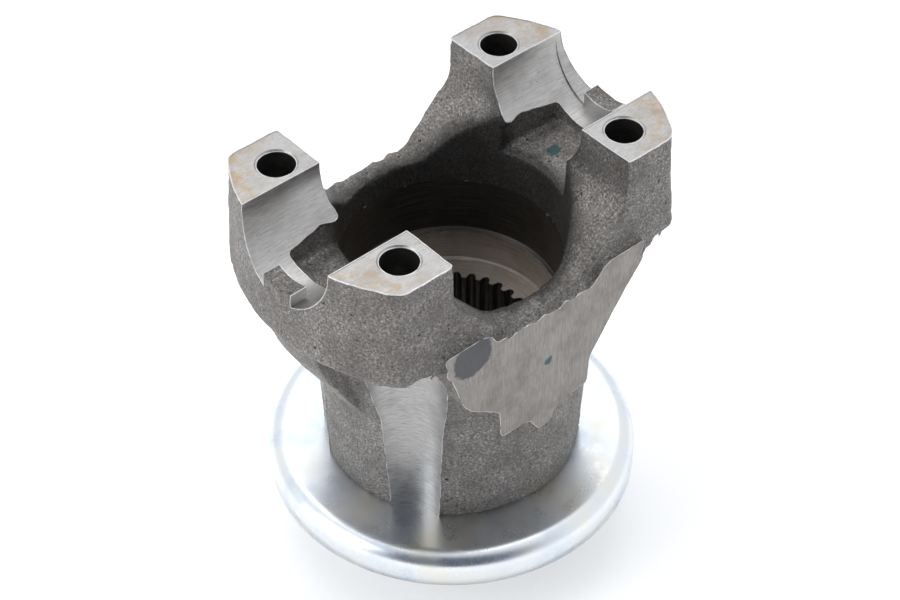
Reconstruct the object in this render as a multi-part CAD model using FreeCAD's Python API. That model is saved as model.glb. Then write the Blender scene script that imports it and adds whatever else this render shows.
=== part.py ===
"""Forged yoke for a bolted universal joint, with the dust shield pressed on its hub.

Millimetres, +Z up.  The origin is the centre of the seal journal's end face, on which the
yoke stands.  X is the axis of the joint's bearing caps, and both ears mirror about it.
"""
import FreeCAD, Part
import math
import os

V = FreeCAD.Vector
UP = V(0, 0, 1)
ORIGIN = V(0, 0, 0)

# Heights above the journal's end face, and how far the upper features lie below the pads
height = 116.0              # machined pads on the four horns, the top of the yoke
ear_depth = 27.1            # underside of the ears, and the spot faces of the bolts
web_depth = 26.2            # forged web between the ears
washer_face_z = 58.8        # machined face for the pinion nut's washer
shield_seat_z = 26.9        # forged foot of the hub, which the shield's top face meets

# Seal journal and hub
journal_radius = 23.8
journal_chamfer = 1.6
pilot_radius = 25.6
pilot_length = 3.4
hub_foot_radius = 31.5
hub_top_radius = 33.2
hub_top_z = 58.0
foot_round = 1.2

# Central bore
washer_face_radius = 25.7
washer_bore_length = 9.0    # from the washer face up to where the bore opens out
upper_bore_radius = 26.5
machined_length = 23.8      # from the washer face up to the forged mouth
mouth_radius = 27.7         # forged mouth at its top
mouth_top_depth = 11.5      # top of that mouth's tapered wall, in the open

# Internal spline
spline_teeth = 33
spline_turn = 1.4           # degrees from +X to the first groove
spline_major_radius = 20.5
spline_minor_radius = 18.7
spline_groove_share = 0.56  # width of a groove at its mouth, as a share of the tooth pitch
spline_root_share = 0.34    # the same where the flank meets the round root
spline_root_depth = 0.4     # depth of that round root
spline_lead_radius = 20.9
spline_lead_length = 4.0

# Ears and horns
ear_radius = 50.0           # outer face at the pads
ear_draft = 1.5             # growth of that face from the pads to the ledge
horn_half_width = 30.3      # side faces at the pads
side_draft = 1.3
horn_corner_round = 3.6
horn_inner_x = 26.0
ledge_round = 1.6
underside_hub_z = 59.5      # where the underside leaves the hub
underside_radius = 45.3     # radius of the underside just below the ledge
underside_bow = 1.6
underside_round = 18.0
hub_fillet = 6.0
web_half_width = 32.9       # trimmed side faces of the web
web_edge_round = 4.0

# Rib below each ear
rib_angle = 22.0
rib_root_radius = 26.5      # buried in the hub
rib_foot_radius = 32.8
rib_foot_z = 56.0
rib_bulge_radius = 46.1
rib_bulge_drop = 10.6       # below the ear's underside
rib_bulge_round = 14.0
rib_rise = 5.1              # its top, buried in the ear above the underside
rib_top_inset = 0.2         # below the ear's outer face

# Saddle between the ears
saddle_floor_half_length = 12.0
saddle_slope_depth = 11.5
saddle_floor_round = 5.0
saddle_top_round = 8.0

# Trimmed band, where the flash was sheared off
band_depth = 5.0
band_edge_round = 1.0
band_foot_z = 56.9
band_foot_half_length = 13.6
band_knee_half_length = 14.1
band_knee_z = 65.6
band_knee_round = 1.5
band_haunch_half_length = 24.6
band_haunch_depth = 35.6
band_low_haunch_depth = 43.0            # sheared lower towards -X
band_haunch_round = 12.0
band_tip_half_length = 30.8
band_tip_depth = 23.4
band_crown_half_length = 18.5
band_crown_drop = 3.3       # flat part of the band below the web's top
band_crown_round = 6.0

# Bearing cap seats
cap_diameter = 30.18
cap_axis_drop = 1.0         # cap axis below the pads
lock_up = 92.1              # between the two locating tabs
seat_lip_rise = 0.55        # how much the outer strip stands above the seat
tab_half_width = 4.7
tab_height = 3.6
pocket_end_x = 40.8
pocket_inner_half_width = 10.7
pocket_end_half_width = 8.4
pocket_end_lean = 0.6
pocket_end_round = 1.5
pocket_outer_depth = 19.1
pocket_inner_depth = 21.4
pocket_throat_inset = 0.9   # the floor's inner end, outside the horns' inner faces
pocket_throat_slope = 0.4
pocket_throat_round = 3.0

# Tapped holes for the bearing straps
hole_x = 33.26
hole_y = 21.21
hole_diameter = 9.1
hole_rim_diameter = 10.0
spot_face_radius = 10.2

# Dust shield, a zinc plated pressing
shield_radius = 45.7
shield_thickness = 1.4
shield_depth = 8.9
shield_round = 4.2
shield_collar_depth = 3.0
shield_collar_round = 0.8

ear_ledge_z = height - ear_depth
web_top_z = height - web_depth
cap_radius = cap_diameter / 2
cap_axis_z = height - cap_axis_drop
tab_x = lock_up / 2
far = 2 * ear_radius        # reach of the cutting tools, clear of the whole body
margin = 1.0                # overrun of a tool that ends inside another's cut


def rounded_wire(corners, place):
    """Close a wire through corners (u, v, round), with place(u, v) giving each 3-D point."""
    edges = []
    joins = []
    for i, (u, v, radius) in enumerate(corners):
        before = corners[i - 1]
        after = corners[(i + 1) % len(corners)]
        here = V(u, v, 0)
        back = (V(before[0], before[1], 0) - here).normalize()
        ahead = (V(after[0], after[1], 0) - here).normalize()
        if radius == 0:
            joins.append((here, here, here))
            continue
        half = back.getAngle(ahead) / 2
        reach = radius / math.tan(half)
        middle = here + (back + ahead).normalize() * (radius / math.sin(half) - radius)
        joins.append((here + back * reach, middle, here + ahead * reach))
    for i, (start, middle, end) in enumerate(joins):
        if start != end:
            edges.append(Part.Arc(place(start), place(middle), place(end)).toShape())
        following = joins[(i + 1) % len(joins)][0]
        if end.distanceToPoint(following) > 1e-6:
            edges.append(Part.LineSegment(place(end), place(following)).toShape())
    return Part.Wire(edges)


def in_section(point):
    return V(point.x, 0, point.y)


def turned(corners, angle=360.0):
    """Solid of revolution about Z from corners (radius, z, round)."""
    face = Part.Face(rounded_wire(corners, in_section))
    return face.revolve(ORIGIN, UP, angle)


def prism_along_y(corners, start, end):
    """Solid from corners (x, z, round), between two values of y."""
    face = Part.Face(rounded_wire(corners, in_section))
    face.translate(V(0, start, 0))
    return face.extrude(V(0, end - start, 0))


def both_sides(shape, normal):
    """The shape and its mirror image."""
    return [shape, shape.mirror(ORIGIN, normal)]


def four_corners():
    return [(sx * hole_x, sy * hole_y) for sx in (1, -1) for sy in (1, -1)]


def plan_outline(radius, half_width, z):
    """Outline of both ears from above: two round ends joined by straight sides."""
    inset = radius - horn_corner_round
    corner_y = half_width - horn_corner_round
    corner_x = math.sqrt(inset ** 2 - corner_y ** 2)
    out_x = corner_x * radius / inset
    out_y = corner_y * radius / inset
    mid = math.atan2(out_y, out_x) / 2 + math.pi / 4
    mid_x = corner_x + horn_corner_round * math.cos(mid)
    mid_y = corner_y + horn_corner_round * math.sin(mid)
    edges = []
    for side in (1, -1):
        p = [V(side * a, side * b, z) for a, b in (
            (out_x, -out_y), (radius, 0), (out_x, out_y), (mid_x, mid_y),
            (corner_x, half_width), (-corner_x, half_width), (-mid_x, mid_y), (-out_x, out_y))]
        edges.append(Part.Arc(p[0], p[1], p[2]).toShape())
        edges.append(Part.Arc(p[2], p[3], p[4]).toShape())
        edges.append(Part.LineSegment(p[4], p[5]).toShape())
        edges.append(Part.Arc(p[5], p[6], p[7]).toShape())
    return Part.Wire(edges)


def ear_ring():
    """Upper body: the outer faces of both ears, drafted from the ledge up to the pads."""
    low = plan_outline(ear_radius + ear_draft, horn_half_width + side_draft, ear_ledge_z)
    high = plan_outline(ear_radius, horn_half_width, height)
    ring = Part.makeLoft([low, high], True, True)
    ledge = [e for e in ring.Edges if e.BoundBox.ZMax < ear_ledge_z + 0.01]
    return ring.makeFillet(ledge_round, ledge)


def lower_body():
    """Journal, pilot, drafted hub and the flared underside that carries the ears."""
    mid_z = (underside_hub_z + ear_ledge_z) / 2
    mid_radius = (hub_top_radius + underside_radius) / 2 - underside_bow
    top_z = ear_ledge_z + ledge_round
    flare = turned([
        (0, 0, 0),
        (journal_radius - journal_chamfer, 0, 0),
        (journal_radius, journal_chamfer, 0),
        (journal_radius, shield_seat_z - pilot_length, 0),
        (pilot_radius, shield_seat_z - pilot_length, 0),
        (pilot_radius, shield_seat_z, 0),
        (hub_foot_radius, shield_seat_z, foot_round),
        (hub_top_radius, hub_top_z, hub_fillet),
        (mid_radius, mid_z, underside_round),
        (underside_radius, ear_ledge_z, 0),
        (underside_radius, top_z, 0),
        (0, top_z, 0),
    ])
    slab = Part.makeBox(far, 2 * web_half_width, top_z, V(-far / 2, -web_half_width, 0))
    crests = [e for e in slab.Edges if e.BoundBox.ZMin > top_z - 0.01 and e.BoundBox.XLength > 1]
    return flare.common(slab.makeFillet(web_edge_round, crests))


def rib():
    """Root of one ear, the stretch of underside that stays full from hub to ear."""
    solid = turned([
        (rib_root_radius, rib_foot_z, 0),
        (rib_foot_radius, rib_foot_z, 0),
        (rib_bulge_radius, ear_ledge_z - rib_bulge_drop, rib_bulge_round),
        (ear_radius + ear_draft - rib_top_inset, ear_ledge_z + rib_rise, 0),
        (rib_root_radius, ear_ledge_z + rib_rise, 0),
    ], rib_angle)
    solid.rotate(ORIGIN, UP, -rib_angle / 2)
    return solid


def band_half(side, haunch_depth):
    """Corners of the trimmed band towards one ear, from its foot up to its crown."""
    return [(side * x, z, r) for x, z, r in (
        (band_foot_half_length, band_foot_z, band_edge_round),
        (band_knee_half_length, band_knee_z, band_knee_round),
        (band_haunch_half_length, height - haunch_depth, band_haunch_round),
        (band_tip_half_length, height - band_tip_depth, band_edge_round),
        (band_crown_half_length, height - band_tip_depth, band_crown_round),
        (saddle_floor_half_length, web_top_z - band_crown_drop, band_crown_round))]


def trimmed_band():
    """Flat band on one side of the web, left where the flash was sheared off."""
    outline = band_half(1, band_haunch_depth) + band_half(-1, band_low_haunch_depth)[::-1]
    return prism_along_y(outline, web_half_width - band_depth, web_half_width)


def saddle():
    """Opening between the ears: a flat floor, two slopes and the horns' inner faces."""
    corners = [(saddle_floor_half_length, web_top_z, saddle_floor_round),
               (horn_inner_x, height - saddle_slope_depth, saddle_top_round),
               (horn_inner_x, height + far, 0)]
    outline = corners + [(-x, z, r) for x, z, r in reversed(corners)]
    return prism_along_y(outline, -far, far)


def pocket():
    """Relief in the seat floor of the +X ear, open towards the middle."""
    end_x = pocket_end_x + pocket_end_lean
    inner_z = height - pocket_inner_depth
    profile = prism_along_y([
        (0, inner_z - pocket_throat_slope * horn_inner_x, 0),
        (horn_inner_x + pocket_throat_inset, inner_z, pocket_throat_round),
        (pocket_end_x, height - pocket_outer_depth, pocket_end_round),
        (end_x, height, 0),
        (0, height, 0),
    ], -far, far)
    taper = (pocket_inner_half_width - pocket_end_half_width) / (pocket_end_x - horn_inner_x)
    root_half_width = pocket_inner_half_width + taper * horn_inner_x
    plan = Part.makePolygon([V(0, -root_half_width, 0),
                             V(end_x, -pocket_end_half_width, 0),
                             V(end_x, pocket_end_half_width, 0),
                             V(0, root_half_width, 0),
                             V(0, -root_half_width, 0)])
    return profile.common(Part.Face(plan).extrude(V(0, 0, height)))


def channel(radius, axis_z, start, end):
    """U-shaped cutter along X: round below the axis and open above it."""
    round_part = Part.makeCylinder(radius, end - start, V(start, 0, axis_z), V(1, 0, 0))
    open_part = Part.makeBox(end - start, 2 * radius, far, V(start, -radius, axis_z))
    return round_part.fuse(open_part)


def cap_seat():
    """Cutter for the +X bearing cap: the seat, its outer lip and the tab left standing."""
    seat = channel(cap_radius, cap_axis_z, 0, tab_x)
    lip = channel(cap_radius, cap_axis_z + seat_lip_rise, tab_x, far)
    tab = Part.makeBox(far, 2 * tab_half_width, cap_axis_z, V(0, -tab_half_width, 0))
    over_tab = channel(cap_radius - tab_height, cap_axis_z, tab_x, far)
    return [seat, lip.cut(tab), over_tab]


def central_bore():
    """Washer face, machined bore in two steps and the forged mouth above it."""
    step_z = washer_face_z + washer_bore_length
    return turned([
        (0, washer_face_z, 0),
        (washer_face_radius, washer_face_z, 0),
        (washer_face_radius, step_z, 0),
        (upper_bore_radius, step_z + upper_bore_radius - washer_face_radius, 0),
        (upper_bore_radius, washer_face_z + machined_length, 0),
        (mouth_radius, height - mouth_top_depth, 0),
        (0, height - mouth_top_depth, 0),
    ])


def spline_cutter():
    """Splined hole with a round-bottomed groove for each tooth, and its lead at the foot."""
    pitch = 2 * math.pi / spline_teeth
    mouth = pitch * spline_groove_share / 2
    root = pitch * spline_root_share / 2
    flank_radius = spline_major_radius - spline_root_depth

    def at(radius, angle):
        return V(radius * math.cos(angle), radius * math.sin(angle), 0)

    edges = []
    for tooth in range(spline_teeth):
        middle = tooth * pitch + math.radians(spline_turn)
        edges.append(Part.LineSegment(at(spline_minor_radius, middle - mouth),
                                      at(flank_radius, middle - root)).toShape())
        edges.append(Part.Arc(at(flank_radius, middle - root),
                              at(spline_major_radius, middle),
                              at(flank_radius, middle + root)).toShape())
        edges.append(Part.LineSegment(at(flank_radius, middle + root),
                                      at(spline_minor_radius, middle + mouth)).toShape())
        edges.append(Part.Arc(at(spline_minor_radius, middle + mouth),
                              at(spline_minor_radius, middle + pitch / 2),
                              at(spline_minor_radius, middle + pitch - mouth)).toShape())
    splined = Part.Face(Part.Wire(edges)).extrude(V(0, 0, washer_face_z + margin))
    lead_slope = spline_lead_radius - spline_minor_radius
    lead = turned([(0, 0, 0),
                   (spline_lead_radius, 0, 0),
                   (spline_lead_radius, spline_lead_length, 0),
                   (spline_minor_radius, spline_lead_length + lead_slope, 0),
                   (0, spline_lead_length + lead_slope, 0)])
    return splined.fuse(lead)


def bolt_cutters(x, y):
    """Tapped hole with its chamfered rim, and the milled relief below for bolt and wrench."""
    radius = hole_diameter / 2
    rim = hole_rim_diameter / 2
    hole = Part.makeCylinder(radius, far, V(x, y, ear_ledge_z - margin))
    chamfer = Part.makeCone(radius, rim + margin, rim + margin - radius,
                            V(x, y, height - rim + radius))
    relief = Part.makeCylinder(spot_face_radius, ear_ledge_z - shield_seat_z,
                               V(x, y, shield_seat_z))
    return [hole, chamfer, relief]


def yoke():
    """The forging with everything that is machined into it."""
    solids = [lower_body()] + both_sides(rib(), V(1, 0, 0))
    body = ear_ring().multiFuse(solids)
    body = body.cut(saddle())
    body = body.multiFuse(both_sides(trimmed_band(), V(0, 1, 0)))
    tools = [central_bore(), spline_cutter()]
    for cutter in [pocket()] + cap_seat():
        tools += both_sides(cutter, V(1, 0, 0))
    for x, y in four_corners():
        tools += bolt_cutters(x, y)
    return body.cut(tools).removeSplitter()


def dust_shield():
    """Pressed disc with a rolled rim outside and a drawn collar on the pilot."""
    wall = shield_thickness
    top = shield_seat_z
    collar_foot = top - shield_collar_depth
    return turned([
        (pilot_radius, collar_foot, 0),
        (pilot_radius + wall, collar_foot, 0),
        (pilot_radius + wall, top - wall, shield_collar_round),
        (shield_radius - wall, top - wall, shield_round - wall),
        (shield_radius - wall, top - shield_depth, 0),
        (shield_radius, top - shield_depth, 0),
        (shield_radius, top, shield_round),
        (pilot_radius, top, 0),
    ])


os.makedirs("parts", exist_ok=True)
for name, shape in (("yoke", yoke()), ("dust_shield", dust_shield())):
    solid = shape.Solids[0]
    box = solid.BoundBox
    print(name, len(shape.Solids), solid.isValid(), round(solid.Volume, 1),
          [round(v, 2) for v in (box.XMin, box.XMax, box.YMin, box.YMax, box.ZMin, box.ZMax)])
    solid.exportStep("parts/%s.step" % name)
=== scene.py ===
import math

import bmesh
import bpy
import numpy as np
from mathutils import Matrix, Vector, noise


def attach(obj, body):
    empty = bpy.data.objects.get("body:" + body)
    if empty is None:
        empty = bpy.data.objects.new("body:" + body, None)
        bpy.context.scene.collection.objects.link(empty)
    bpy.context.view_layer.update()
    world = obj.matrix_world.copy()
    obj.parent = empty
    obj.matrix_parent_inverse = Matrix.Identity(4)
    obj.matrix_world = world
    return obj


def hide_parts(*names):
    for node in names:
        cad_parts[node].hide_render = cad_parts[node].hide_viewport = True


# Sizes in millimetres, the same as the solids'; the scene itself is in metres.
MM = 0.001
PAD_Z = 116.0
LEDGE_Z = 88.9
SEAT_AXIS_Z = 115.0
SEAT_RADIUS = 15.09
TAB_X = 46.05
TAB_HALF_WIDTH = 4.7
TAB_TOP_RADIUS = 11.49
LIP_RISE = 0.55
HORN_INNER_X = 26.0
BAND_Y = 32.9
WASHER_Z = 58.8
WASHER_RADIUS = 25.7
STEP_Z = 67.8
UPPER_RADIUS = 26.5
MOUTH_Z = 82.6
SPLINE_TEETH = 33
SPLINE_TURN = math.radians(1.4)
SPLINE_MAJOR = 20.5
SPLINE_MINOR = 18.7
LEAD_RADIUS = 20.9
HOLE_X = 33.26
HOLE_Y = 21.21
HOLE_RADIUS = 4.55
RIM_RADIUS = 5.0
RELIEF_RADIUS = 10.2
HUB_FOOT_Z = 26.9
PILOT_Z = 23.5
PILOT_RADIUS = 25.6
JOURNAL_RADIUS = 23.8
JOURNAL_CHAMFER = 1.6
SHIELD_RADIUS = 45.7
SHIELD_WALL = 1.4
SHIELD_DEPTH = 8.9
SHIELD_ROUND = 4.2
COLLAR_DEPTH = 3.0
BORE_PLUG_RADIUS = 21.6     # fills the splined hole before it is cut
HOLE_PLUG_RADIUS = 5.8      # fills a tapped hole before it is cut
STOCK = 1.5                 # metal that the cutters take off the forging
STOCK_ROOT = 0.6            # how far that metal reaches into the solid
VOXEL = 0.62                # of the remesh that rounds the forging
FAR = 70.0                  # past every side of the part
OPEN = 20.0                 # how far a cut goes on above the part

# The camera that matches the photograph's angle, in degrees and metres
CAMERA_AZIMUTH = -41.1018
CAMERA_ELEVATION = 43.4293
CAMERA_DISTANCE = 0.57007
CAMERA_TARGET_Z = 0.068612
CAMERA_SHIFT = 0.000361     # of the target, towards the picture's left
CAMERA_LENS = 95.9
CAMERA_SENSOR = 36

SHARP_FORGING = math.radians(38)
SHARP_SHIELD = math.radians(50)
FLAT_BORDER = math.radians(20)      # a border that turns less than this has no burr

# Finishes of the forging's faces, in the order of its material slots
FORGED, PAD, SEAT, BORE, WASHER, SPLINE, HOLE, RELIEF, SHEARED, TURNED = range(10)
HOLES = [(sx * HOLE_X, sy * HOLE_Y) for sx in (1, -1) for sy in (1, -1)]

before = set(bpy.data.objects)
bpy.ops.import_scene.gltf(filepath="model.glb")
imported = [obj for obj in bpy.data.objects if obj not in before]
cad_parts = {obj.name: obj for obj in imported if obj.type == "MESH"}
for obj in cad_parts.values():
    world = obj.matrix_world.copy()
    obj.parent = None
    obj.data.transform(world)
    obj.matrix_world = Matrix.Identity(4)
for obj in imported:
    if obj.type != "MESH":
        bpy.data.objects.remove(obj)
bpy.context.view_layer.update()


# ---------------------------------------------------------------- meshes

def linked(name, mesh):
    """New object of a mesh, a light or a camera, in the scene."""
    obj = bpy.data.objects.new(name, mesh)
    bpy.context.scene.collection.objects.link(obj)
    return obj


def mesh_object(name, verts, faces, finish=None):
    """New object from points in millimetres; every face gets the same finish number."""
    mesh = bpy.data.meshes.new(name)
    mesh.from_pydata([tuple(c * MM for c in v) for v in verts], [], faces)
    mesh.validate()
    if finish is not None:
        layer = mesh.attributes.new("finish", "INT", "FACE")
        layer.data.foreach_set("value", np.full(len(mesh.polygons), finish, np.int32))
    return linked(name, mesh)


def point_outwards(obj):
    """Turn every face of a closed mesh outwards."""
    bm = bmesh.new()
    bm.from_mesh(obj.data)
    bmesh.ops.recalc_face_normals(bm, faces=bm.faces)
    bm.to_mesh(obj.data)
    bm.free()
    return obj


def prism(name, outline, place, start, end, finish=None):
    """Closed prism: outline (u, v) carried from start to end; place(u, v, w) gives the point."""
    n = len(outline)
    verts = [place(u, v, start) for u, v in outline] + [place(u, v, end) for u, v in outline]
    faces = [(i, (i + 1) % n, n + (i + 1) % n, n + i) for i in range(n)]
    faces += [tuple(range(n))[::-1], tuple(range(n, 2 * n))]
    return point_outwards(mesh_object(name, verts, faces, finish))


def along_x(u, v, w):
    return (w, u, v)


def along_z(u, v, w):
    return (u, v, w)


def lathe(name, profile, segments, finish=None, centre=(0, 0)):
    """Closed solid of revolution; profile is a closed list of (radius, z)."""
    cx, cy = centre
    rings = []
    verts = []
    for radius, z in profile:
        if radius == 0:
            rings.append([len(verts)] * segments)
            verts.append((cx, cy, z))
            continue
        rings.append(list(range(len(verts), len(verts) + segments)))
        for k in range(segments):
            turn = 2 * math.pi * k / segments
            verts.append((cx + radius * math.cos(turn), cy + radius * math.sin(turn), z))
    faces = []
    for i, ring in enumerate(rings):
        after = rings[(i + 1) % len(rings)]
        if ring[0] == ring[1] and after[0] == after[1]:
            continue
        for k in range(segments):
            j = (k + 1) % segments
            corners = [ring[k], ring[j], after[j], after[k]]
            faces.append(tuple(dict.fromkeys(corners)))
    return point_outwards(mesh_object(name, verts, faces, finish))


def rod(name, radius, low, high, segments, finish=None, centre=(0, 0)):
    """Upright cylinder."""
    profile = [(0, low), (radius, low), (radius, high), (0, high)]
    return lathe(name, profile, segments, finish, centre)


def read(items, field, size=3):
    """All values of a field of a mesh's items, as one flat array."""
    values = np.zeros(len(items) * size)
    items.foreach_get(field, values)
    return values


def evaluated(obj):
    """Replace the object's mesh by the one its modifiers make."""
    graph = bpy.context.evaluated_depsgraph_get()
    mesh = bpy.data.meshes.new_from_object(obj.evaluated_get(graph))
    obj.modifiers.clear()
    old = obj.data
    obj.data = mesh
    bpy.data.meshes.remove(old)
    return obj


def arc(cy, cz, radius, start, end, steps):
    """Points on an arc from start to end, in degrees."""
    turns = np.radians(np.linspace(start, end, steps + 1))
    return [(cy + radius * math.cos(t), cz + radius * math.sin(t)) for t in turns]


# ---------------------------------------------------------------- the forging

def is_machined(c, n):
    """Whether a face with centre c and normal n, on the solids, is cut and not forged."""
    x, y, z = c
    r = math.hypot(x, y)
    rho = math.hypot(y, z - SEAT_AXIS_Z)
    if z > PAD_Z - 0.6 and n[2] > 0.5:
        return True
    if rho < SEAT_RADIUS + 0.7 and abs(x) > HORN_INNER_X + 0.3:
        if abs(n[0]) < 0.3 or abs(abs(x) - TAB_X) < 0.05:
            return True
    if WASHER_Z - 0.1 < z < MOUTH_Z + 0.1 and r < UPPER_RADIUS + 0.05:
        return r > WASHER_RADIUS - 0.1 or n[2] > 0.9
    if abs(y) > BAND_Y - 0.05 and abs(n[1]) > 0.9:
        return True
    if z < HUB_FOOT_Z + 0.05 and r > SPLINE_MINOR + 2.3:
        return z < HUB_FOOT_Z - 0.05 or n[2] < -0.9
    near = min(math.hypot(x - hx, y - hy) for hx, hy in HOLES)
    return near < RELIEF_RADIUS + 0.1 and HUB_FOOT_Z < z < LEDGE_Z + 0.1


def machining_stock(node):
    """A slab over every machined face of the solid, to be cut off again."""
    bm = bmesh.new()
    bm.from_mesh(node.data)
    bmesh.ops.remove_doubles(bm, verts=bm.verts, dist=1e-7)
    bm.normal_update()
    spare = [f for f in bm.faces
             if not is_machined(f.calc_center_median() / MM, f.normal)]
    bmesh.ops.delete(bm, geom=spare, context="FACES")
    mesh = bpy.data.meshes.new("stock")
    bm.to_mesh(mesh)
    bm.free()
    obj = linked("stock", mesh)
    solid = obj.modifiers.new("slab", "SOLIDIFY")
    solid.thickness = (STOCK + STOCK_ROOT) * MM
    solid.offset = (STOCK - STOCK_ROOT) / (STOCK + STOCK_ROOT)
    return evaluated(obj)


def joined(name, parts):
    """One mesh object from several, whose surfaces may overlap."""
    bm = bmesh.new()
    for part in parts:
        bm.from_mesh(part.data)
    mesh = bpy.data.meshes.new(name)
    bm.to_mesh(mesh)
    bm.free()
    return linked(name, mesh)


def held(value):
    """Value held between 0 and 1."""
    return max(0.0, min(1.0, value))


def unevenness(p):
    """How far the forged skin stands off the solid at p, in millimetres."""
    large = noise.noise(p * 0.07) * 0.30
    middle = noise.noise(p * 0.31 + Vector((9, 3, 5))) * 0.16
    small = noise.noise(p * 0.80 + Vector((2, 8, 1))) * 0.09
    crest = max(0.0, 1 - abs(p.z - 88) / 5) * held((abs(p.y) - 25) / 4)
    crest *= held((24 - abs(p.x)) / 5)
    lumps = noise.noise(p * 0.42 + Vector((4, 4, 7)))
    mouth = held((31 - math.hypot(p.x, p.y)) / 3) if p.z > 78 else 0.0
    side = held((abs(p.y) - 31) / 2)
    calm = 1 - 0.7 * max(mouth, side)
    return calm * (large + middle + small) + crest * (1.1 * lumps - 0.15)


def forging_blank():
    """The forging before machining: rounded by the remesh, with an uneven skin."""
    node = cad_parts["yoke"]
    plugs = [rod("plug", BORE_PLUG_RADIUS, -STOCK, WASHER_Z + STOCK, 48)]
    for centre in HOLES:
        plugs.append(rod("plug", HOLE_PLUG_RADIUS, LEDGE_Z - STOCK, PAD_Z + STOCK, 32, None, centre))
    parts = [node, machining_stock(node)] + plugs
    blank = joined("yoke_forging", parts)
    for part in parts[1:]:
        bpy.data.objects.remove(part)
    remesh = blank.modifiers.new("remesh", "REMESH")
    remesh.mode = "VOXEL"
    remesh.voxel_size = VOXEL * MM
    smooth = blank.modifiers.new("smooth", "SMOOTH")
    smooth.factor = 0.5
    smooth.iterations = 3
    evaluated(blank)
    mesh = blank.data
    points = read(mesh.vertices, "co").reshape(-1, 3)
    normals = read(mesh.vertex_normals, "vector").reshape(-1, 3)
    heights = [unevenness(Vector(p)) for p in points / MM]
    points += normals * np.array(heights)[:, None] * MM
    mesh.vertices.foreach_set("co", points.ravel())
    mesh.update()
    layer = mesh.attributes.new("finish", "INT", "FACE")
    layer.data.foreach_set("value", np.full(len(mesh.polygons), FORGED, np.int32))
    return blank


def spline_outline():
    """Closed outline of the splined hole, with a round root in each groove."""
    pitch = 2 * math.pi / SPLINE_TEETH
    points = []
    for tooth in range(SPLINE_TEETH):
        middle = tooth * pitch + SPLINE_TURN
        for turn, radius in ((-0.36, SPLINE_MINOR), (-0.28, SPLINE_MAJOR - 0.9),
                             (-0.20, SPLINE_MAJOR - 0.35), (-0.10, SPLINE_MAJOR - 0.08),
                             (0, SPLINE_MAJOR), (0.10, SPLINE_MAJOR - 0.08),
                             (0.20, SPLINE_MAJOR - 0.35), (0.28, SPLINE_MAJOR - 0.9),
                             (0.36, SPLINE_MINOR), (0.5, SPLINE_MINOR)):
            angle = middle + turn * pitch
            points.append((radius * math.cos(angle), radius * math.sin(angle)))
    return points


def seat_outline():
    """Half-round seat of the bearing caps, open above."""
    top = SEAT_AXIS_Z + OPEN
    half_round = arc(0, SEAT_AXIS_Z, SEAT_RADIUS, 0, -180, 64)
    return half_round + [(-SEAT_RADIUS, top), (SEAT_RADIUS, top)]


def lip_outlines():
    """The lip on each side of the locating tab."""
    axis_z = SEAT_AXIS_Z + LIP_RISE
    edge = math.degrees(math.acos(TAB_HALF_WIDTH / SEAT_RADIUS))
    right = arc(0, axis_z, SEAT_RADIUS, 0, -edge, 24)
    right += [(TAB_HALF_WIDTH, axis_z + OPEN), (SEAT_RADIUS, axis_z + OPEN)]
    return right, [(-u, v) for u, v in right]


def tab_outline():
    """Above the locating tab's rough top."""
    half = TAB_HALF_WIDTH + 0.05
    top = math.degrees(math.acos(half / TAB_TOP_RADIUS))
    return (arc(0, SEAT_AXIS_Z, TAB_TOP_RADIUS, -top, top - 180, 16)
            + [(-half, SEAT_AXIS_Z + OPEN + 1), (half, SEAT_AXIS_Z + OPEN + 1)])


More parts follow.
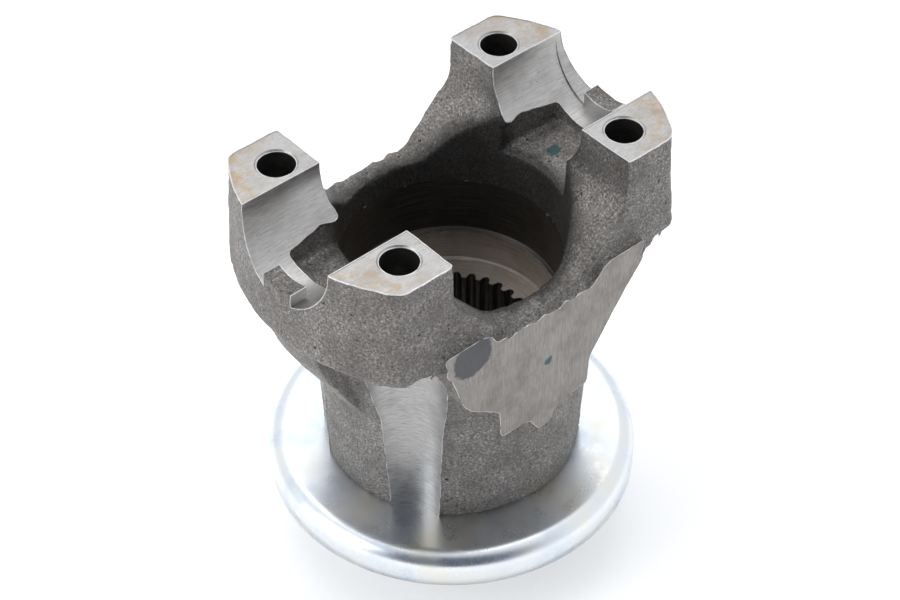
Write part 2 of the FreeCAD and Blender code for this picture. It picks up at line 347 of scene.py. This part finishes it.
def cutters():
    """Every machining cut, as closed solids that carry the finish they leave."""
    tools = [prism("pads", [(-FAR, -FAR), (FAR, -FAR), (FAR, FAR), (-FAR, FAR)],
                   along_z, PAD_Z, PAD_Z + OPEN, PAD),
             prism("seats", seat_outline(), along_x, -TAB_X, TAB_X, SEAT)]
    for side in (1, -1):
        for outline in lip_outlines():
            tools.append(prism("lip", outline, along_x, side * TAB_X, side * FAR, SEAT))
        tools.append(prism("tab", tab_outline(), along_x, side * TAB_X, side * FAR, FORGED))
        tools.append(prism("shear", [(-FAR, 40), (FAR, 40), (FAR, 110), (-FAR, 110)],
                           lambda u, v, w: (u, w, v), side * BAND_Y, side * FAR, SHEARED))
    tools.append(lathe("upper_bore", [(0, STEP_Z - 2), (WASHER_RADIUS - 0.2, STEP_Z - 2),
                                      (WASHER_RADIUS, STEP_Z),
                                      (UPPER_RADIUS, STEP_Z + 0.8), (UPPER_RADIUS, PAD_Z),
                                      (0, PAD_Z)], 192, BORE))
    tools.append(lathe("washer_bore", [(0, WASHER_Z), (WASHER_RADIUS - 0.5, WASHER_Z),
                                       (WASHER_RADIUS, WASHER_Z + 0.5), (WASHER_RADIUS, STEP_Z + 0.1),
                                       (0, STEP_Z + 0.1)], 192, WASHER))
    tools.append(prism("spline", spline_outline(), along_z, -5, WASHER_Z + 1, SPLINE))
    tools.append(lathe("lead", [(0, -5), (LEAD_RADIUS, -5), (LEAD_RADIUS, 4.0),
                                (SPLINE_MINOR, 6.2), (0, 6.2)], 96, TURNED))
    for centre in HOLES:
        tools.append(rod("relief", RELIEF_RADIUS, HUB_FOOT_Z - 1, LEDGE_Z, 96, RELIEF, centre))
        rim = RIM_RADIUS - HOLE_RADIUS
        tools.append(rod("hole", HOLE_RADIUS, LEDGE_Z - 3, PAD_Z + 1, 96, HOLE, centre))
        tools.append(lathe("rim", [(0, PAD_Z - rim), (HOLE_RADIUS, PAD_Z - rim),
                                   (RIM_RADIUS + 1, PAD_Z + 1), (0, PAD_Z + 1)],
                           96, PAD, centre))
    chamfer = JOURNAL_RADIUS - JOURNAL_CHAMFER
    tools.append(lathe("turned", [(chamfer - 2, -2), (JOURNAL_RADIUS, JOURNAL_CHAMFER),
                                  (JOURNAL_RADIUS, PILOT_Z), (PILOT_RADIUS, PILOT_Z),
                                  (PILOT_RADIUS, HUB_FOOT_Z), (FAR, HUB_FOOT_Z), (FAR, -2)],
                       192, TURNED))
    tools.append(rod("end_face", 40, -5, 0, 96, TURNED))
    return tools


def machine(blank, tools):
    """Cut every tool out of the blank."""
    for tool in tools:
        cut = blank.modifiers.new("cut", "BOOLEAN")
        cut.operation = "DIFFERENCE"
        cut.solver = "MANIFOLD"
        cut.object = tool
        evaluated(blank)
    for tool in tools:
        bpy.data.objects.remove(tool)
    return blank


def keep_largest(obj):
    """Drop the crumbs that a cut leaves loose."""
    bm = bmesh.new()
    bm.from_mesh(obj.data)
    bm.verts.ensure_lookup_table()
    seen = set()
    groups = []
    for vert in bm.verts:
        if vert in seen:
            continue
        seen.add(vert)
        group = [vert]
        for v in group:
            for edge in v.link_edges:
                other = edge.other_vert(v)
                if other not in seen:
                    seen.add(other)
                    group.append(other)
        groups.append(group)
    groups.sort(key=len)
    spare = [v for group in groups[:-1] for v in group]
    bmesh.ops.delete(bm, geom=spare, context="VERTS")
    bm.to_mesh(obj.data)
    bm.free()


def finish_of(mesh):
    """The finish number of every face."""
    return read(mesh.attributes["finish"].data, "value", 1).astype(int)


def shade(obj, materials):
    """Give each finish its material, and keep the borders between finishes crisp."""
    mesh = obj.data
    mesh.materials.clear()
    for material in materials:
        mesh.materials.append(material)
    finish = finish_of(mesh)
    mesh.polygons.foreach_set("material_index", finish)
    mesh.shade_smooth()
    mesh.set_sharp_from_angle(angle=SHARP_FORGING)
    bm = bmesh.new()
    bm.from_mesh(mesh)
    for edge in bm.edges:
        if len({f.material_index for f in edge.link_faces}) > 1:
            edge.smooth = False
    bm.to_mesh(mesh)
    bm.free()


def burr_size(kinds, middle):
    """Radius of the burr between two finishes, at the middle of an edge."""
    if PAD in kinds:
        return 0.17 + 0.06 * noise.noise(middle * 0.5)
    size = 0.11 + 0.07 * noise.noise(middle * 0.5)
    if BORE in kinds and FORGED in kinds:
        size = 0.10 + 0.25 * noise.noise(middle * 0.35 + Vector((3, 1, 2)))
    if SHEARED in kinds or RELIEF in kinds:
        size -= 0.05
    return size


def add_burr(verts, faces, a, b, size):
    """Square tube round the edge from a to b."""
    along = (b - a).normalized()
    side = along.orthogonal().normalized()
    up = along.cross(side)
    start = len(verts)
    for end in (a - along * 0.03, b + along * 0.03):
        for k in range(4):
            turn = math.pi / 2 * k
            verts.append(end + side * (size * math.cos(turn)) + up * (size * math.sin(turn)))
    faces += [(start + k, start + (k + 1) % 4, start + 4 + (k + 1) % 4, start + 4 + k)
              for k in range(4)]
    faces += [(start + 3, start + 2, start + 1, start), tuple(range(start + 4, start + 8))]


def edge_burrs_painted_highlight(obj, material):
    """Thin burr along every border between a cut and what lies next to it; its bright steel is a
    painted highlight line along the edge.
    """
    bm = bmesh.new()
    bm.from_mesh(obj.data)
    verts = []
    faces = []
    for edge in bm.edges:
        kinds = {f.material_index for f in edge.link_faces}
        if len(kinds) < 2 or not kinds & {PAD, SEAT, WASHER, BORE, SHEARED, RELIEF}:
            continue
        if edge.calc_face_angle(0) < FLAT_BORDER:
            continue
        a, b = (v.co / MM for v in edge.verts)
        size = burr_size(kinds, (a + b) / 2)
        if size >= 0.04 and (a - b).length >= 0.02:
            add_burr(verts, faces, a, b, size)
    bm.free()
    highlight_burrs = point_outwards(mesh_object("edge_burrs_painted_highlight", verts, faces))
    highlight_burrs.data.materials.append(material)
    return highlight_burrs


def dust_shield(material):
    """Pressed disc: flat web, rolled rim and drawn collar, with the slight waves of a pressing."""
    top = HUB_FOOT_Z
    wall = SHIELD_WALL
    outer = arc(SHIELD_RADIUS - SHIELD_ROUND, top - SHIELD_ROUND, SHIELD_ROUND, 90, 0, 20)
    inner = arc(SHIELD_RADIUS - SHIELD_ROUND, top - SHIELD_ROUND, SHIELD_ROUND - wall, 0, 90, 12)
    flat = [(r, top) for r in np.linspace(PILOT_RADIUS + 0.02, SHIELD_RADIUS - SHIELD_ROUND, 14)[:-1]]
    foot = top - SHIELD_DEPTH
    profile = flat + outer
    profile += [(SHIELD_RADIUS, foot + 0.25), (SHIELD_RADIUS - 0.25, foot),
                (SHIELD_RADIUS - wall + 0.25, foot), (SHIELD_RADIUS - wall, foot + 0.25)]
    profile += inner
    profile += arc(PILOT_RADIUS + wall + 0.8, top - wall - 0.8, 0.8, 90, 180, 5)
    profile += [(PILOT_RADIUS + wall, top - COLLAR_DEPTH), (PILOT_RADIUS + 0.02, top - COLLAR_DEPTH)]
    shield = lathe("zinc_dust_shield", profile, 256)
    mesh = shield.data
    points = read(mesh.vertices, "co").reshape(-1, 3)
    for p in points:
        q = Vector(p) / MM
        r = math.hypot(q.x, q.y)
        wave = noise.noise(Vector((q.x, q.y, 0)) * 0.055) * 0.10
        p[2] += wave * MM * held((r - 32) / 6)
    mesh.vertices.foreach_set("co", points.ravel())
    mesh.materials.append(material)
    mesh.shade_smooth()
    mesh.set_sharp_from_angle(angle=SHARP_SHIELD)
    return shield


# ---------------------------------------------------------------- materials

class Shader:
    """The nodes of one material, added in the order they feed each other."""

    def __init__(self, name):
        self.material = bpy.data.materials.new(name)
        self.material.use_nodes = True
        self.tree = self.material.node_tree
        self.tree.nodes.clear()
        spot = self.node("TexCoord").outputs["Object"]
        self.mm = self.node("VectorMath", [spot, None, None, 1 / MM], operation="SCALE").outputs[0]

    def node(self, kind, inputs=(), **settings):
        node = self.tree.nodes.new("ShaderNode" + kind)
        for key, value in settings.items():
            setattr(node, key, value)
        pairs = inputs.items() if isinstance(inputs, dict) else enumerate(inputs)
        for key, value in pairs:
            if isinstance(value, bpy.types.NodeSocket):
                self.tree.links.new(value, node.inputs[key])
            elif value is not None:
                node.inputs[key].default_value = value
        return node

    def math(self, operation, a, b=None, clamp=False):
        return self.node("Math", [a, b], operation=operation, use_clamp=clamp).outputs[0]

    def stretched(self, x, y, z):
        """The place in millimetres, scaled along each axis."""
        return self.node("VectorMath", [self.mm, (x, y, z)], operation="MULTIPLY").outputs[0]

    def noise(self, size, detail=3, roughness=0.55, where=None, distortion=0.0):
        """Noise from 0 to 1 whose features are about size millimetres across."""
        return self.node("TexNoise", {"Vector": where or self.mm, "Scale": 1 / size,
                                      "Detail": detail, "Roughness": roughness,
                                      "Distortion": distortion}).outputs[0]

    def span(self, value, low, high, to_low=0.0, to_high=1.0):
        """Value from low..high brought to to_low..to_high, and held there."""
        return self.node("MapRange", [value, low, high, to_low, to_high]).outputs[0]

    def mix(self, share, a, b):
        node = self.node("Mix", data_type="RGBA")
        for index, value in ((0, share), (6, a), (7, b)):
            if isinstance(value, bpy.types.NodeSocket):
                self.tree.links.new(value, node.inputs[index])
            else:
                node.inputs[index].default_value = value
        return node.outputs[2]

    def ramp(self, value, stops):
        node = self.node("ValToRGB", [value])
        elements = node.color_ramp.elements
        elements[0].position, elements[1].position = stops[0][0], stops[-1][0]
        elements[0].color, elements[1].color = stops[0][1], stops[-1][1]
        for place, colour in stops[1:-1]:
            elements.new(place).color = colour
        return node.outputs[0]

    def bump(self, height, depth, strength=1.0, under=None):
        """Bump of the given depth in millimetres."""
        inputs = {"Strength": strength, "Distance": depth * MM, "Height": height}
        if under is not None:
            inputs["Normal"] = under
        return self.node("Bump", inputs).outputs[0]

    def near(self, x, y, z, radius):
        """1 within radius of a point, with a ragged border."""
        away = self.node("VectorMath", [self.mm, (x, y, z)], operation="DISTANCE").outputs[1]
        ragged = self.math("ADD", away, self.math("MULTIPLY", self.noise(1.3), 2.2))
        return self.span(ragged, radius + 1.5, radius + 0.9)

    def off_axis(self):
        """x, y, z and the distance from the Z axis, in millimetres."""
        x, y, z = self.node("SeparateXYZ", [self.mm]).outputs
        squares = self.math("ADD", self.math("MULTIPLY", x, x), self.math("MULTIPLY", y, y))
        return x, y, z, self.math("SQRT", squares)

    def metal(self, colour, metallic, roughness, normal, **constants):
        inputs = {"Base Color": colour, "Metallic": metallic, "Roughness": roughness,
                  "Normal": normal}
        inputs.update(constants)
        shader = self.node("BsdfPrincipled", inputs)
        out = self.node("OutputMaterial")
        self.tree.links.new(shader.outputs[0], out.inputs[0])
        return self.material


def grey(level, warm=0.0):
    """Linear colour from an 8-bit grey level, a little warmer or cooler."""
    def linear(value):
        c = max(0.0, min(255.0, value)) / 255
        return c / 12.92 if c <= 0.04045 else ((c + 0.055) / 1.055) ** 2.4
    return (linear(level * (1 + warm)), linear(level), linear(level * (1 - warm)), 1)


TEAL = (0.010, 0.075, 0.085, 1)


def forged_skin():
    """Scaled and shot blasted skin: dark, grainy, with pale specks that are painted glints, black
    pits, and painted shade that darkens the skin round the bore's mouth.
    """
    s = Shader("forged_skin")
    grain = s.noise(0.55, 5, 0.7)
    fine = s.noise(0.22, 3, 0.6)
    blotch = s.noise(9, 4, 0.6)
    # painted highlight: the palest steps of this ramp, up to grey 215, are glints painted into the
    # skin's colour
    colour = s.ramp(grain, [(0.28, grey(50, 0.03)), (0.45, grey(108, 0.03)),
                            (0.60, grey(150, 0.03)), (0.72, grey(215, 0.02))])
    colour = s.mix(s.span(blotch, 0.40, 0.66, 0.0, 0.55), colour, grey(84, 0.05))
    pits = s.span(s.noise(1.5, 3, 0.6), 0.66, 0.72)
    colour = s.mix(pits, colour, grey(24, 0.05))
    x, y, z, out = s.off_axis()
    # painted shade: the skin inside about 30 to 33 mm of the axis, above z 80, turns near black to
    # stand in for the shade inside the deep bore
    ragged = s.math("ADD", out, s.math("MULTIPLY", s.noise(3.0), 4))
    mouth = s.math("MULTIPLY", s.span(ragged, 33, 30), s.span(z, 80, 83))
    colour = s.mix(s.math("MULTIPLY", mouth, 0.72), colour, grey(22, 0.03))
    paint = s.near(33.1, 1.3, 96.0, 1.6)
    colour = s.mix(s.math("MULTIPLY", paint, 0.8), colour, TEAL)
    rough = s.span(fine, 0.3, 0.7, 0.42, 0.68)
    lumps = s.bump(s.noise(2.2, 2, 0.5), 0.20, 0.7)
    normal = s.bump(grain, 0.16, 0.9, lumps)
    normal = s.bump(fine, 0.06, 0.8, normal)
    return s.metal(colour, 0.62, rough, normal)


def milled(name, where, level, warm, rough, depth=0.02, metallic=0.9, stain=0.35, tint=None):
    """Cut steel with tool lines; where is the place scaled so that noise stretches along them."""
    s = Shader(name)
    place = where(s)
    lines = s.noise(1, 4, 0.65, place)
    broad = s.noise(6, 3, 0.6)
    colour = s.mix(s.span(lines, 0.35, 0.65), grey(level - 18, warm), grey(level + 14, warm))
    colour = s.mix(s.span(broad, 0.45, 0.75, 0, stain), colour, grey(level * 0.62, warm + 0.05))
    specks = s.span(s.noise(0.7, 2, 0.6), 0.70, 0.75)
    colour = s.mix(s.math("MULTIPLY", specks, 0.7), colour, grey(level * 0.4, 0.05))
    if tint:
        colour = tint(s, colour)
    roughness = s.span(lines, 0.3, 0.7, rough - 0.06, rough + 0.08)
    normal = s.bump(lines, depth, 0.6)
    return s.metal(colour, metallic, roughness, normal)


def gold_edges(s, colour):
    """Straw tint of old grinding heat and oil towards the outside of the pads."""
    x, y, z, out = s.off_axis()
    share = s.math("MULTIPLY", s.span(out, 40, 49), s.span(s.noise(3.5, 4, 0.7), 0.42, 0.62))
    return s.mix(s.math("MULTIPLY", share, 0.7), colour, (0.42, 0.29, 0.15, 1))


def paint_dab(s, colour):
    """The patch that the shear missed, and a dab of teal marking paint."""
    missed = s.math("MULTIPLY", s.near(-22.5, -BAND_Y, 88.5, 5.5), 0.8)
    colour = s.mix(missed, colour, (0.045, 0.05, 0.062, 1))
    return s.mix(s.math("MULTIPLY", s.near(0.6, -BAND_Y, 72.4, 1.1), 0.85), colour, TEAL)


def zinc():
    """Bright zinc with a faint blue passivate, stains and fine scratches."""
    s = Shader("zinc_plate")
    cloud = s.noise(16, 4, 0.6)
    colour = s.ramp(cloud, [(0.30, (0.62, 0.70, 0.80, 1)), (0.5, (0.80, 0.83, 0.86, 1)),
                            (0.68, (0.84, 0.83, 0.76, 1))])
    dirt = s.span(s.noise(1.1, 4, 0.7), 0.66, 0.78)
    colour = s.mix(s.math("MULTIPLY", dirt, 0.5), colour, (0.25, 0.22, 0.16, 1))
    roughness = s.span(s.noise(7, 5, 0.65), 0.3, 0.7, 0.24, 0.36)
    normal = s.bump(s.noise(4.0, 3, 0.5), 0.02, 0.5)
    normal = s.bump(s.noise(0.35, 2, 0.5), 0.006, 0.5, normal)
    return s.metal(colour, 1.0, roughness, normal)


def burr_painted_highlight():
    s = Shader("burr_steel_painted_highlight")
    # painted highlight: the burr's steel, grey 170 to 235, is paler than the cut faces beside it, so
    # the strip stands in for light caught along the edge
    colour = s.mix(s.noise(0.9, 2), grey(170), grey(235))
    return s.metal(colour, 0.95, 0.32, s.bump(s.noise(0.3), 0.02, 0.5))


def round_axis(s, around, along):
    """Place as turn, height and distance from the Z axis, so that marks run around it."""
    x, y, z, out = s.off_axis()
    turn = s.math("ARCTAN2", y, x)
    return s.node("CombineXYZ", [s.math("MULTIPLY", turn, around), s.math("MULTIPLY", z, along),
                                 s.math("MULTIPLY", out, along)]).outputs[0]


def forging_materials():
    """One material per finish, in the order of the finish numbers."""
    return [
        forged_skin(),
        milled("milled_pad", lambda s: s.stretched(0.5, 5, 5), 182, 0.01, 0.42, tint=gold_edges),
        milled("milled_seat", lambda s: s.stretched(0.25, 4, 4), 182, 0.01, 0.36, 0.03),
        # painted shade: the bored wall's base colour is grey 84, far darker than the pads and washer
        # face, standing in for the shade deep in the bore
        milled("bored_wall_painted_shade", lambda s: round_axis(s, 2, 4), 84, 0.06, 0.38, 0.02, 0.85),
        milled("washer_face", lambda s: round_axis(s, 2, 4), 188, 0.05, 0.46, 0.015, 0.8),
        milled("broached_spline", lambda s: s.stretched(5, 5, 0.3), 96, 0.05, 0.42, 0.02, 0.8),
        milled("tapped_hole", lambda s: s.stretched(0.3, 0.3, 6), 80, 0.04, 0.42, 0.05, 0.8),
        milled("milled_relief", lambda s: s.stretched(0.4, 0.4, 3), 170, 0.01, 0.34, 0.03),
        milled("sheared_face", lambda s: s.stretched(5, 5, 0.35), 140, 0.03, 0.42, 0.03, 0.85,
               0.5, paint_dab),
        milled("ground_journal", lambda s: s.stretched(0.3, 0.3, 6), 190, 0.0, 0.24, 0.01)]


# ---------------------------------------------------------------- the pieces

forging = machine(forging_blank(), cutters())
keep_largest(forging)
shade(forging, forging_materials())
highlight_burrs = edge_burrs_painted_highlight(forging, burr_painted_highlight())
shield = dust_shield(zinc())
for piece, slot in ((forging, "forged_steel"), (highlight_burrs, "forged_steel"), (shield, "zinc_plate")):
    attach(piece, "root")
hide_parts("yoke")
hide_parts("dust_shield")


# ---------------------------------------------------------------- studio

def floor():
    s = Shader("studio_floor")
    colour = s.mix(s.noise(300, 2), (0.86, 0.865, 0.87, 1), (0.88, 0.88, 0.88, 1))
    plane = mesh_object("floor", [(-4000, -4000, -0.2), (4000, -4000, -0.2), (4000, 4000, -0.2),
                                  (-4000, 4000, -0.2)], [(0, 1, 2, 3)])
    glow = {"Emission Color": (1, 1, 1, 1), "Emission Strength": 0.32}
    bump = s.bump(s.noise(1.5), 0.01, 0.1)
    plane.data.materials.append(s.metal(colour, 0.0, 0.8, bump, **glow))


def area_light(name, place, size, power, aim=(0, 0, 0.06), colour=(1, 1, 1)):
    data = bpy.data.lights.new(name, "AREA")
    data.shape = "RECTANGLE"
    data.size, data.size_y = size
    data.energy = power
    data.color = colour
    light = linked(name, data)
    light.location = place
    light.rotation_euler = (Vector(place) - Vector(aim)).to_track_quat("Z", "Y").to_euler()


def studio():
    """White surroundings with a dim side where the camera stands, and two soft boxes."""
    world = bpy.data.worlds.new("studio")
    world.use_nodes = True
    tree = world.node_tree
    tree.nodes.clear()
    spot = tree.nodes.new("ShaderNodeTexCoord")
    towards = tree.nodes.new("ShaderNodeVectorMath")
    towards.operation = "DOT_PRODUCT"
    towards.inputs[1].default_value = Vector((-0.53, -0.61, 0.45)).normalized()
    shade_off = tree.nodes.new("ShaderNodeValToRGB")
    stops = shade_off.color_ramp.elements
    stops[0].position, stops[0].color = 0.62, (0.95, 0.97, 1.0, 1)
    stops[1].position, stops[1].color = 0.90, (0.10, 0.12, 0.16, 1)
    light = tree.nodes.new("ShaderNodeBackground")
    light.inputs[1].default_value = 1.0
    out = tree.nodes.new("ShaderNodeOutputWorld")
    tree.links.new(spot.outputs["Generated"], towards.inputs[0])
    tree.links.new(towards.outputs["Value"], shade_off.inputs[0])
    tree.links.new(shade_off.outputs[0], light.inputs[0])
    tree.links.new(light.outputs[0], out.inputs[0])
    bpy.context.scene.world = world
    area_light("soft_box_top", (0.15, 0.35, 1.1), (0.9, 0.9), 3)
    area_light("soft_box_left", (-1.0, 0.25, 0.55), (0.5, 0.7), 4)


def camera():
    """At the photograph's angle: 43 degrees up, from -X -Y."""
    azimuth, elevation = math.radians(CAMERA_AZIMUTH), math.radians(CAMERA_ELEVATION)
    right = Vector((math.cos(azimuth), math.sin(azimuth), 0))
    back = Vector((math.sin(azimuth) * math.cos(elevation),
                   -math.cos(azimuth) * math.cos(elevation), math.sin(elevation)))
    target = Vector((0, 0, CAMERA_TARGET_Z)) - right * CAMERA_SHIFT
    data = bpy.data.cameras.new("camera")
    data.lens = CAMERA_LENS
    data.sensor_width = CAMERA_SENSOR
    data.clip_end = 20
    obj = linked("camera", data)
    obj.location = target + back * CAMERA_DISTANCE
    obj.rotation_euler = back.to_track_quat("Z", "Y").to_euler()
    bpy.context.scene.camera = obj


floor()
studio()
camera()
bpy.context.scene.view_settings.view_transform = "Standard"
